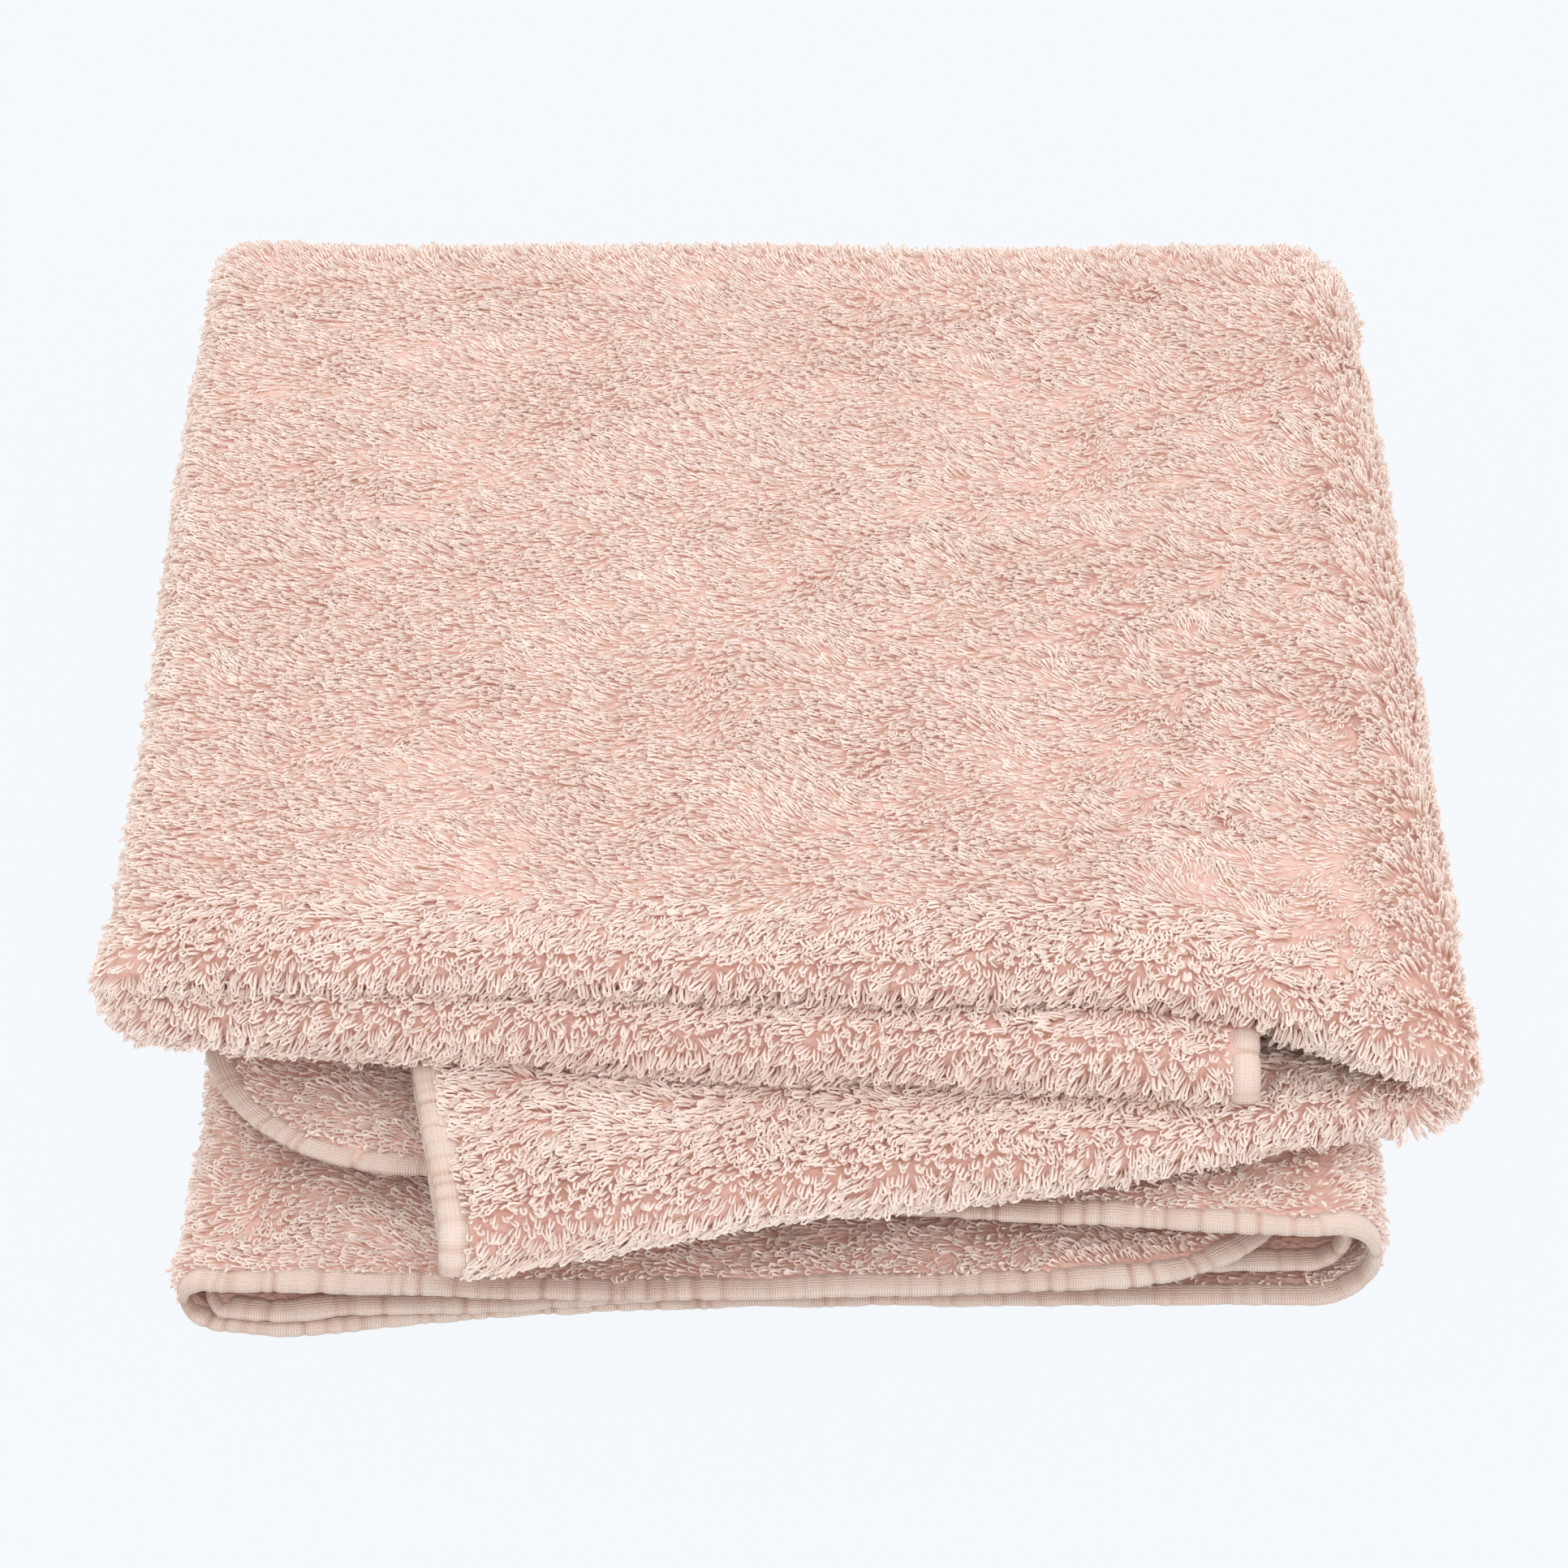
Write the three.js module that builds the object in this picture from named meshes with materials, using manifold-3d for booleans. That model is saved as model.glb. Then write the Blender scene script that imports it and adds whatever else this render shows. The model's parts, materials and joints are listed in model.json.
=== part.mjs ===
// A terry bath towel with a taped edge and rounded corners, folded for the shelf.
//
// The towel is folded three times. First it is doubled end to end, which makes two plies, an outer
// and an inner one. Then the doubled strip is folded in thirds: the left flap comes over the base,
// and the right flap over the left one. Last, the whole strip is folded in half again, back over
// front, on a crease at the back. So a lower half of six plies lies under an upper half of six.
// The upper half mirrors the lower one in the crease's height, and its layers end at the front in
// folds, where the lower half ends in taped edges. The crease opens like a book.
//
// Units are millimetres. X is to the right, Y to the back and Z up. The origin is the middle of the
// underside. Each length of cloth between two folds is a solid of its own, and so is each length of
// edge tape.
import * as THREE from "three";
import { mergeVertices } from "three/addons/utils/BufferGeometryUtils.js";
import Module from "manifold-3d";

const wasm = await Module();
wasm.setup();

// Cloth in the stack.
const PLY_PITCH = 5; // height that one ply takes, with its pile pressed down
const GAP = 0.4; // clearance between neighbouring lengths of cloth or tape
const CORNER_RADIUS = 45; // of the towel's own rounded corners
const TAPE_WIDTH = 5.3; // of the edge tape that shows on a face
const TAPE_THICKNESS = 3.6; // of the tape folded round the cloth's edge

// Outline of the folded stack.
const LOWER_HALF_WIDTH = 124; // from the middle to a side fold, at the lower front edge
const UPPER_HALF_WIDTH = 143; // the same along the whole upper half, and at the crease
const CREASE_DEPTH = 335; // from the lower front edge back to the crease's axis

// How far short of the far side fold each flap ends.
const LEFT_FLAP_SHORT = { lowerFront: 21, crease: 21, upperFront: 45 };
const RIGHT_FLAP_SHORT = { lowerFront: 2, crease: 16, upperFront: 75 };

// How far the upper half's front folds lie behind the lower front edge, at their left and right ends.
const COVER_FRONT = { left: 37, right: 12 };
const LEFT_FLAP_FRONT = { left: 33, right: 15 };
const RIGHT_FLAP_FRONT = { left: -19, right: 11 };

// Segments of a half circle in a fold, and of a whole turn about the crease.
const FOLD_SEGMENTS = 12;
const TURN_SEGMENTS = 48;

const PLY_THICKNESS = PLY_PITCH - GAP;
const TAPE_INSET = (PLY_THICKNESS - TAPE_THICKNESS) / 2;
const CREASE_HEIGHT = 6 * PLY_PITCH; // the middle of the stack, six plies up

// The plies of the lower half, counted from the bottom.
const PLY = { baseOuter: 0, baseInner: 1, leftInner: 2, leftOuter: 3, rightInner: 4, rightOuter: 5 };

const CLOTH_COLOUR = 0xecccc0;
const TAPE_COLOUR = 0xeed6ca;

const cloth = () => new THREE.MeshStandardMaterial({ color: CLOTH_COLOUR, roughness: 1, metalness: 0 });
const tape = () => new THREE.MeshStandardMaterial({ color: TAPE_COLOUR, roughness: 0.85, metalness: 0 });

const towel = new THREE.Group();
const lowerHalf = new THREE.Group();
const upperHalf = new THREE.Group();
towel.add(lowerHalf, upperHalf);

function addPiece(group, name, geometry, material) {
  const mesh = new THREE.Mesh(geometry, material());
  mesh.name = name;
  group.add(mesh);
}

// A fold that joins two plies: the height of its middle and its outer radius.
function foldBetween(lowPly, highPly) {
  const low = lowPly * PLY_PITCH;
  const high = highPly * PLY_PITCH + PLY_THICKNESS;
  return { height: (low + high) / 2, radius: (high - low) / 2 };
}

const LEFT_RADIUS = foldBetween(PLY.baseOuter, PLY.leftOuter).radius;
const RIGHT_RADIUS = foldBetween(PLY.baseOuter, PLY.rightOuter).radius;

// Both halves are as wide as the upper half at the crease. The lower one narrows to the front.
function lowerSide(y) {
  return LOWER_HALF_WIDTH + ((UPPER_HALF_WIDTH - LOWER_HALF_WIDTH) * y) / CREASE_DEPTH;
}
const upperSide = () => UPPER_HALF_WIDTH;

// A length that changes evenly from the front to the crease.
function fromFrontToCrease(atFront, atCrease) {
  return (y) => atFront + ((atCrease - atFront) * y) / CREASE_DEPTH;
}

// A closed outline in plan, raised to a plate as thick as one ply or one tape.
function plate(points, ply, thickness = PLY_THICKNESS) {
  const outline = new THREE.Shape(points.map(([x, y]) => new THREE.Vector2(x, y)));
  const geometry = new THREE.ExtrudeGeometry(outline, { depth: thickness, bevelEnabled: false });
  return geometry.translate(0, 0, ply * PLY_PITCH + (PLY_THICKNESS - thickness) / 2);
}

// Half a ring in section, which opens towards +X.
function halfRing(outerRadius, innerRadius) {
  const section = new THREE.Shape();
  section.absarc(0, 0, outerRadius, Math.PI / 2, (3 * Math.PI) / 2, false);
  section.absarc(0, 0, innerRadius, (3 * Math.PI) / 2, Math.PI / 2, true);
  return section;
}

// A length of side fold from y0 to y1, on the left (side -1) or the right (side 1).
function sideFold(side, lowPly, highPly, sideAt, y0, y1, inset = 0) {
  const { height, radius } = foldBetween(lowPly, highPly);
  const section = halfRing(radius - inset, radius - PLY_THICKNESS + inset);
  const geometry = new THREE.ExtrudeGeometry(section, {
    depth: y1 - y0,
    bevelEnabled: false,
    curveSegments: FOLD_SEGMENTS,
  });
  if (side > 0) geometry.rotateZ(Math.PI); // the ring then opens towards -X
  geometry.rotateX(Math.PI / 2).translate(0, y1, height);
  const places = geometry.getAttribute("position");
  const sideRadius = side < 0 ? LEFT_RADIUS : RIGHT_RADIUS;
  for (let i = 0; i < places.count; i++) {
    places.setX(i, places.getX(i) + side * (sideAt(places.getY(i)) - sideRadius));
  }
  return geometry;
}

// A length of front fold along the line from a to b, which joins a ply to the next one up.
function frontFold(a, b, lowPly, inset = 0) {
  const { height, radius } = foldBetween(lowPly, lowPly + 1);
  const section = halfRing(radius - inset, radius - PLY_THICKNESS + inset);
  const along = new THREE.Vector2(b[0] - a[0], b[1] - a[1]);
  const geometry = new THREE.ExtrudeGeometry(section, {
    depth: along.length(),
    bevelEnabled: false,
    curveSegments: FOLD_SEGMENTS,
  });
  // The section's X turns to Y and its Y to Z, so the length runs along X.
  geometry.rotateX(Math.PI / 2).rotateZ(Math.PI / 2);
  return geometry.rotateZ(along.angle()).translate(a[0], a[1], height);
}

// The free end of a flap with one of the towel's round corners, from the front edge to the crease.
function roundEnd(side, endAt, inset) {
  const points = [];
  const middleY = CORNER_RADIUS;
  const middleX = endAt(middleY) - CORNER_RADIUS;
  const radius = CORNER_RADIUS - inset;
  for (let i = 0; i <= FOLD_SEGMENTS; i++) {
    const angle = (i / FOLD_SEGMENTS - 1) * (Math.PI / 2);
    points.push([side * (middleX + radius * Math.cos(angle)), middleY + radius * Math.sin(angle)]);
  }
  points.push([side * (endAt(CREASE_DEPTH - GAP) - inset), CREASE_DEPTH - GAP]);
  return points;
}

// ---- Lower half: flat cloth, side folds and the tape on their front edge ----

const clothFront = TAPE_WIDTH + GAP;
const clothBack = CREASE_DEPTH - GAP;

function sideX(side, sideAt, y) {
  const radius = side < 0 ? LEFT_RADIUS : RIGHT_RADIUS;
  return side * (sideAt(y) - radius - GAP);
}

function lowerBase(name, ply) {
  const corners = [
    [-1, clothFront],
    [1, clothFront],
    [1, clothBack],
    [-1, clothBack],
  ].map(([side, y]) => [sideX(side, lowerSide, y), y]);
  addPiece(lowerHalf, `lower_base_${name}_ply`, plate(corners, ply), cloth);
  const edge = [
    [-1, 0],
    [1, 0],
    [1, TAPE_WIDTH],
    [-1, TAPE_WIDTH],
  ].map(([side, y]) => [sideX(side, lowerSide, y), y]);
  addPiece(lowerHalf, `edge_tape_base_${name}`, plate(edge, ply, TAPE_THICKNESS), tape);
}

// A flap hangs on the side fold opposite its free end, which lies on side.
function lowerFlap(label, name, side, short, ply) {
  const endAt = (y) => lowerSide(y) - fromFrontToCrease(short.lowerFront, short.crease)(y);
  const folded = (y) => [sideX(-side, lowerSide, y), y];
  const panel = [folded(clothFront), ...roundEnd(side, endAt, clothFront), folded(clothBack)];
  addPiece(lowerHalf, `lower_${label}_flap_${name}_ply`, plate(panel, ply), cloth);
  const band = [
    folded(0),
    ...roundEnd(side, endAt, 0),
    ...roundEnd(side, endAt, TAPE_WIDTH).reverse(),
    folded(TAPE_WIDTH),
  ];
  addPiece(lowerHalf, `edge_tape_lower_${label}_flap_${name}`, plate(band, ply, TAPE_THICKNESS), tape);
}

function lowerFold(label, name, side, lowPly, highPly) {
  const body = sideFold(side, lowPly, highPly, lowerSide, clothFront, clothBack);
  addPiece(lowerHalf, `lower_${label}_fold_${name}_ply`, body, cloth);
  const edge = sideFold(side, lowPly, highPly, lowerSide, 0, TAPE_WIDTH, TAPE_INSET);
  addPiece(lowerHalf, `edge_tape_${label}_fold_${name}`, edge, tape);
}

lowerBase("outer", PLY.baseOuter);
lowerBase("inner", PLY.baseInner);
lowerFold("left", "outer", -1, PLY.baseOuter, PLY.leftOuter);
lowerFold("left", "inner", -1, PLY.baseInner, PLY.leftInner);
lowerFold("right", "outer", 1, PLY.baseOuter, PLY.rightOuter);
lowerFold("right", "inner", 1, PLY.baseInner, PLY.rightInner);
lowerFlap("left", "inner", 1, LEFT_FLAP_SHORT, PLY.leftInner);
lowerFlap("left", "outer", 1, LEFT_FLAP_SHORT, PLY.leftOuter);
lowerFlap("right", "inner", -1, RIGHT_FLAP_SHORT, PLY.rightInner);
lowerFlap("right", "outer", -1, RIGHT_FLAP_SHORT, PLY.rightOuter);

// ---- Upper half, built like the lower one and turned over below ----

const FRONT_RADIUS = foldBetween(0, 1).radius;

// How far back a slanting front fold's axis lies at x, between its left and right ends.
function frontAxis(front, [left, right]) {
  const slope = (front.right - front.left) / (right - left);
  return (x) => front.left + slope * (x - left) + FRONT_RADIUS;
}

// A layer of the upper half: two plies and the front fold between them.
function upperPanel(label, frontY, ends, plies) {
  const [x0, x1] = ends.front;
  const [back0, back1] = ends.crease;
  const outline = [
    [x0, frontY(x0) + GAP],
    [x1, frontY(x1) + GAP],
    [back1, clothBack],
    [back0, clothBack],
  ];
  for (const [name, ply] of Object.entries(plies)) {
    addPiece(upperHalf, `upper_${label}_${name}_ply`, plate(outline, ply), cloth);
  }
  const low = Math.min(...Object.values(plies));
  const fold = frontFold([x0, frontY(x0)], [x1, frontY(x1)], low);
  addPiece(upperHalf, `upper_${label}_front_fold`, fold, cloth);
}

// Tape along a flap's free end on both plies, and round its front fold.
function upperTape(label, side, frontY, end, plies) {
  const inner = (x) => x - side * TAPE_WIDTH;
  const outline = [
    [inner(end.front), frontY(inner(end.front)) + GAP],
    [end.front, frontY(end.front) + GAP],
    [end.crease, clothBack],
    [inner(end.crease), clothBack],
  ];
  for (const [name, ply] of Object.entries(plies)) {
    const band = plate(side > 0 ? outline : [...outline].reverse(), ply, TAPE_THICKNESS);
    addPiece(upperHalf, `edge_tape_upper_${label}_flap_${name}`, band, tape);
  }
  const low = Math.min(...Object.values(plies));
  const [x0, x1] = [inner(end.front), end.front].sort((a, b) => a - b);
  const turn = frontFold([x0, frontY(x0)], [x1, frontY(x1)], low, TAPE_INSET);
  addPiece(upperHalf, `edge_tape_upper_${label}_flap_turn`, turn, tape);
}

function upperFold(label, name, side, lowPly, highPly, y0) {
  const body = sideFold(side, lowPly, highPly, upperSide, y0, clothBack);
  addPiece(upperHalf, `upper_${label}_fold_${name}_ply`, body, cloth);
}

const leftX = sideX(-1, upperSide, 0);
const rightX = sideX(1, upperSide, 0);
const leftFlapEnd = {
  front: UPPER_HALF_WIDTH - LEFT_FLAP_SHORT.upperFront,
  crease: UPPER_HALF_WIDTH - LEFT_FLAP_SHORT.crease,
};
const rightFlapEnd = {
  front: RIGHT_FLAP_SHORT.upperFront - UPPER_HALF_WIDTH,
  crease: RIGHT_FLAP_SHORT.crease - UPPER_HALF_WIDTH,
};

const coverFrontY = frontAxis(COVER_FRONT, [leftX, rightX]);
const leftFlapFrontY = frontAxis(LEFT_FLAP_FRONT, [leftX, leftFlapEnd.front]);
const rightFlapFrontY = frontAxis(RIGHT_FLAP_FRONT, [rightFlapEnd.front, rightX]);

upperPanel(
  "cover",
  coverFrontY,
  { front: [leftX, rightX], crease: [leftX, rightX] },
  { outer: PLY.baseOuter, inner: PLY.baseInner },
);
upperPanel(
  "left_flap",
  leftFlapFrontY,
  { front: [leftX, leftFlapEnd.front - clothFront], crease: [leftX, leftFlapEnd.crease - clothFront] },
  { inner: PLY.leftInner, outer: PLY.leftOuter },
);
upperPanel(
  "right_flap",
  rightFlapFrontY,
  { front: [rightFlapEnd.front + clothFront, rightX], crease: [rightFlapEnd.crease + clothFront, rightX] },
  { inner: PLY.rightInner, outer: PLY.rightOuter },
);
upperTape("left", 1, leftFlapFrontY, leftFlapEnd, { inner: PLY.leftInner, outer: PLY.leftOuter });
upperTape("right", -1, rightFlapFrontY, rightFlapEnd, { inner: PLY.rightInner, outer: PLY.rightOuter });

const leftFoldFront = Math.max(coverFrontY(leftX), leftFlapFrontY(leftX));
const rightFoldFront = Math.max(coverFrontY(rightX), rightFlapFrontY(rightX));
upperFold("left", "outer", -1, PLY.baseOuter, PLY.leftOuter, leftFoldFront);
upperFold("left", "inner", -1, PLY.baseInner, PLY.leftInner, leftFoldFront);
upperFold("right", "outer", 1, PLY.baseOuter, PLY.rightOuter, rightFoldFront);
upperFold("right", "inner", 1, PLY.baseInner, PLY.rightInner, rightFoldFront);

upperHalf.scale.z = -1;
upperHalf.position.z = 2 * CREASE_HEIGHT;

// ---- Back fold: each ply's whole section, turned half round the crease ----

function solidOf(geometry) {
  const bare = geometry.clone();
  bare.deleteAttribute("normal");
  bare.deleteAttribute("uv");
  const merged = mergeVertices(bare, 1e-4);
  const triVerts = new Uint32Array(merged.index.array);
  const vertProperties = merged.attributes.position.array;
  return new wasm.Manifold(new wasm.Mesh({ numProp: 3, vertProperties, triVerts }));
}

function geometryOf(solid) {
  const { vertProperties, triVerts } = solid.getMesh();
  const geometry = new THREE.BufferGeometry();
  geometry.setAttribute("position", new THREE.BufferAttribute(new Float32Array(vertProperties), 3));
  return geometry.setIndex(new THREE.BufferAttribute(new Uint32Array(triVerts), 1));
}

// A closed section in X and height, turned about the crease from the lower half to the upper one.
function turnedRoundCrease(section) {
  const profile = section.map(([x, z]) => new THREE.Vector2(CREASE_HEIGHT - z, x));
  profile.push(profile[0].clone());
  const ring = new THREE.LatheGeometry(profile, TURN_SEGMENTS);
  ring.rotateZ(-Math.PI / 2).translate(0, CREASE_DEPTH, CREASE_HEIGHT);
  const reach = 4 * UPPER_HALF_WIDTH;
  const behind = new THREE.BoxGeometry(reach, reach, reach).translate(0, CREASE_DEPTH + reach / 2, 0);
  return geometryOf(solidOf(ring).intersect(solidOf(behind)));
}

function arc(middle, radius, from, to) {
  return Array.from({ length: FOLD_SEGMENTS + 1 }, (_, i) => {
    const angle = from + ((to - from) * i) / FOLD_SEGMENTS;
    return [middle[0] + radius * Math.cos(angle), middle[1] + radius * Math.sin(angle)];
  });
}

// One ply's section at the crease: left flap, left fold, base, right fold and right flap.
function plySection(base, leftFlap, rightFlap) {
  const left = foldBetween(base, leftFlap);
  const right = foldBetween(base, rightFlap);
  const leftMiddle = [-(UPPER_HALF_WIDTH - LEFT_RADIUS), left.height];
  const rightMiddle = [UPPER_HALF_WIDTH - RIGHT_RADIUS, right.height];
  const leftEnd = leftFlapEnd.crease - clothFront;
  const rightEnd = rightFlapEnd.crease + clothFront;
  const top = (ply) => ply * PLY_PITCH + PLY_THICKNESS;
  const bottom = (ply) => ply * PLY_PITCH;
  const half = Math.PI / 2;
  return [
    [leftEnd, top(leftFlap)],
    ...arc(leftMiddle, left.radius, half, 3 * half),
    ...arc(rightMiddle, right.radius, -half, half),
    [rightEnd, top(rightFlap)],
    [rightEnd, bottom(rightFlap)],
    ...arc(rightMiddle, right.radius - PLY_THICKNESS, half, -half),
    ...arc(leftMiddle, left.radius - PLY_THICKNESS, 3 * half, half),
    [leftEnd, bottom(leftFlap)],
  ];
}

function tapeSection(side, end, ply) {
  const low = ply * PLY_PITCH + TAPE_INSET;
  const high = low + TAPE_THICKNESS;
  const [x0, x1] = [end - side * TAPE_WIDTH, end].sort((a, b) => a - b);
  return [
    [x1, high],
    [x0, high],
    [x0, low],
    [x1, low],
  ];
}

const outerSection = plySection(PLY.baseOuter, PLY.leftOuter, PLY.rightOuter);
const innerSection = plySection(PLY.baseInner, PLY.leftInner, PLY.rightInner);
addPiece(towel, "back_fold_outer_ply", turnedRoundCrease(outerSection), cloth);
addPiece(towel, "back_fold_inner_ply", turnedRoundCrease(innerSection), cloth);
for (const [name, ply] of Object.entries({ inner: PLY.leftInner, outer: PLY.leftOuter })) {
  const section = tapeSection(1, leftFlapEnd.crease, ply);
  addPiece(towel, `edge_tape_back_left_flap_${name}`, turnedRoundCrease(section), tape);
}
for (const [name, ply] of Object.entries({ inner: PLY.rightInner, outer: PLY.rightOuter })) {
  const section = tapeSection(-1, rightFlapEnd.crease, ply);
  addPiece(towel, `edge_tape_back_right_flap_${name}`, turnedRoundCrease(section), tape);
}

// The origin is the middle of the outline, on the underside.
const stack = new THREE.Box3().setFromObject(towel, true);
towel.position.set(-(stack.min.x + stack.max.x) / 2, -(stack.min.y + stack.max.y) / 2, 0);

export default towel;
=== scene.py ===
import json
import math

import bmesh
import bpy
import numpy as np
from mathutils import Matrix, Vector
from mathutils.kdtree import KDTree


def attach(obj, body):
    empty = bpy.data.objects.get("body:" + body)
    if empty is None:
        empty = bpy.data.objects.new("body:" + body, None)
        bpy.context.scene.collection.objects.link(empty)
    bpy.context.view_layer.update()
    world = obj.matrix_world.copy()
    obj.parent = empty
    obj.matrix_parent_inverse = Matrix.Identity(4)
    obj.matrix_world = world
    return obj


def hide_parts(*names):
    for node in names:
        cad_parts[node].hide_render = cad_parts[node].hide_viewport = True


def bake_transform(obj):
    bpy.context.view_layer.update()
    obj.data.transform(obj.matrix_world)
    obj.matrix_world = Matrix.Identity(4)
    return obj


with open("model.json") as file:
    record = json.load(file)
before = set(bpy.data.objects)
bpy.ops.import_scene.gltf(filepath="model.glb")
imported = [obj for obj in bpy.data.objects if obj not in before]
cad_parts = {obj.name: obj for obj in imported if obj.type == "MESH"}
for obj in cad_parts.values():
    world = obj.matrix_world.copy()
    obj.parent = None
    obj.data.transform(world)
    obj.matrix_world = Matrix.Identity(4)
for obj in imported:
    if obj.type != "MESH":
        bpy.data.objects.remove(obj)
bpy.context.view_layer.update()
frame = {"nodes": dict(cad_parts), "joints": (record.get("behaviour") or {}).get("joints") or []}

# A folded terry bath towel. Its cloth is one flat sheet with a taped edge, folded three times, and
# its pile is thousands of loops of yarn that stand on the sheet and lean the way they were brushed.
#
# A point of the cloth is named by two numbers. "across" runs over the width, once the towel is
# doubled: 0-1 left flap, 1-2 left fold, 2-3 base, 3-4 right fold, 4-5 right flap. "along" runs down
# the length: 0-1 lower half, 1-2 back fold, 2-3 upper half, all of the outer ply, 3-4 front fold,
# then 4-5 upper half, 5-6 back fold and 6-7 lower half of the inner ply.

MM = 0.001
TAU = 2 * math.pi

# ---- Sizes, in millimetres ----

back_fold = frame["joints"][0]
CREASE_Y = back_fold["pos_m"][1] / MM
CREASE_Z = back_fold["pos_m"][2] / MM
PLY = CREASE_Z / 6  # height that one ply takes in the stack
CREASE_DEPTH = 335  # from the lower half's front edge to the crease
FRONT_Y = CREASE_Y - CREASE_DEPTH

TOWEL_WIDTH = 760
CORNER_RADIUS = 47

LOWER_LEFT = 124.5  # from the middle to a side fold's outside, at the front
LOWER_RIGHT = 125
UPPER_LEFT = 143
UPPER_RIGHT = 144.5
LEFT_FOLD_RADIUS = PLY  # between the two plies, at a side fold
RIGHT_FOLD_RADIUS = 2 * PLY
NOSE = 5.2  # how far a front fold reaches past the flat plies
BULGE = 0.6  # how much further apart the plies stand at a front fold
LEFT_FLAP_BULGE = 1.2

# How far each flap's free end falls short of the far side fold, at the front and at the crease.
LEFT_SHORT_LOWER = (12, 21)
LEFT_SHORT_UPPER = (46.5, 24)
RIGHT_SHORT_LOWER = (3, 16)
RIGHT_SHORT_UPPER = (73, 16)

# How far the front edges lie behind the lower front edge, for places across the stack.
OUTER_FRONT = {
    "left flap": [(-120, -8), (-75, -9), (-54, -10), (31, -9), (64, -8), (115, -8)],
    "base": [(-114, -8.4), (-107, -9.7), (-95, -8.6), (-55, -3.2), (0, -0.8), (31, -0.5), (120, 0)],
    "right flap": [(-125, 14.5), (-75, 14.5), (-20, 6), (31, 1.5), (91, -2.3), (120, -5)],
}
INNER_FRONT = {
    "left flap": [(-120, -1), (-54, -4), (31, -4), (115, -4)],
    "base": [(-114, -7.3), (-104, -8.8), (-90, -6.7), (-65, -5.9), (0, 1), (60, 3), (120, 4)],
    "right flap": [(-128, 21), (-75, 21), (-20, 12), (31, 7), (120, 2)],
}
UPPER_FRONT = {
    "left flap": [(-142, 42), (-92, 35), (-28, 29), (39, 25), (98, 18)],
    "base": [(-142, 43), (-60, 40), (-10, 40), (39, 38), (89, 35), (142, 18)],
    "right flap": [(-70, -19), (-57, -16.5), (-30, -11), (-5, -6), (16, -4), (58, 3), (80, 9), (142, 26)],
}

# Heights of the plies' middles: evenly spaced, and where they are pressed at the lower front.
EVEN_HEIGHTS = [0, 2.5, 7.5, 12.5, 17.5, 22.5, 27.5, 30]
LEFT_HEIGHTS = [-0.9, 1.4, 4.3, 9.3, 11.7, 19.5, 24.3, 26.8]
RIGHT_HEIGHTS = [-0.9, 1.4, 7.6, 11.2, 13.0, 20.5, 23.3, 25.8]

LEFT_FLARE = 2.2  # how much wider the left side lies at the very front
LEFT_DROOP = 3  # how far the overhanging corners of the upper half sag
RIGHT_DROOP = 9

GROUND_THICKNESS = 1.1
GROUND_INSET = 3.6  # the cloth's cut edge lies this far inside the tape
TAPE_WIDTH = 6.3
TAPE_THICKNESS = 2.7
TAPE_STEP = 1.2  # from one ring of the tape's mesh to the next

YARN = 0.6  # width of a loop's leg
LOOP_UNIT = 5.0  # length of loop for which its template's width and legs are right
TUFT = 4.6  # width of a tuft, whose loops lean together
KNEE = 0.45  # a loop bends over in this share of its length
ROOT_LIFT = 0.35  # the loops start this far out from the middle of the ground
MAX_TRIANGLES = 190000  # in one piece of pile
SEED = 7

# Distances from loop to loop, closest where the pile shows most.
CLOSE = 1.25
ON_COVER = 1.3
ON_RIGHT_SIDE = 1.35
ON_FLAP = 1.4
FINE = 1.5
ON_BACK_FOLD = 1.65
MEDIUM = 1.75
COARSE = 3.6
ON_UNDERSIDE = 4.5


# ---- Smooth curves and noise ----

def mix(a, b, share):
    return a + (b - a) * share


def ease(value, low, high):
    """0 below low, 1 above high and smooth between."""
    t = np.clip((value - low) / (high - low), 0, 1)
    return t * t * (3 - 2 * t)


def smooth_curve(points):
    """A function that runs smoothly through a few points and stays level past the ends."""
    xs, ys = (np.array(c, float) for c in zip(*points))
    slopes = np.gradient(ys, xs)

    def at(x):
        x = np.clip(x, xs[0], xs[-1])
        i = np.clip(np.searchsorted(xs, x) - 1, 0, len(xs) - 2)
        width = xs[i + 1] - xs[i]
        t = (x - xs[i]) / width
        start = (1 + 2 * t) * (1 - t) ** 2 * ys[i] + t * (1 - t) ** 2 * width * slopes[i]
        end = t * t * (3 - 2 * t) * ys[i + 1] + t * t * (t - 1) * width * slopes[i + 1]
        return start + end

    return at


def make_noise(size, seed, waves=18):
    """A smooth random field in space, about -1 to 1, whose bumps are about size across."""
    random = np.random.default_rng(seed)
    steps = random.normal(size=(waves, 3))
    steps /= np.linalg.norm(steps, axis=1)[:, None]
    steps *= (math.pi / size) * random.uniform(0.6, 1.5, (waves, 1))
    phases = random.uniform(0, TAU, waves)

    def at(points):
        return np.sin(points @ steps.T + phases).sum(axis=-1) / math.sqrt(waves)

    return at


outer_front = {name: smooth_curve(points) for name, points in OUTER_FRONT.items()}
inner_front = {name: smooth_curve(points) for name, points in INNER_FRONT.items()}
upper_front = {name: smooth_curve(points) for name, points in UPPER_FRONT.items()}
broad_swell = make_noise(110, SEED + 1)
small_swell = make_noise(34, SEED + 2)


# ---- Folding the cloth ----

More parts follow.
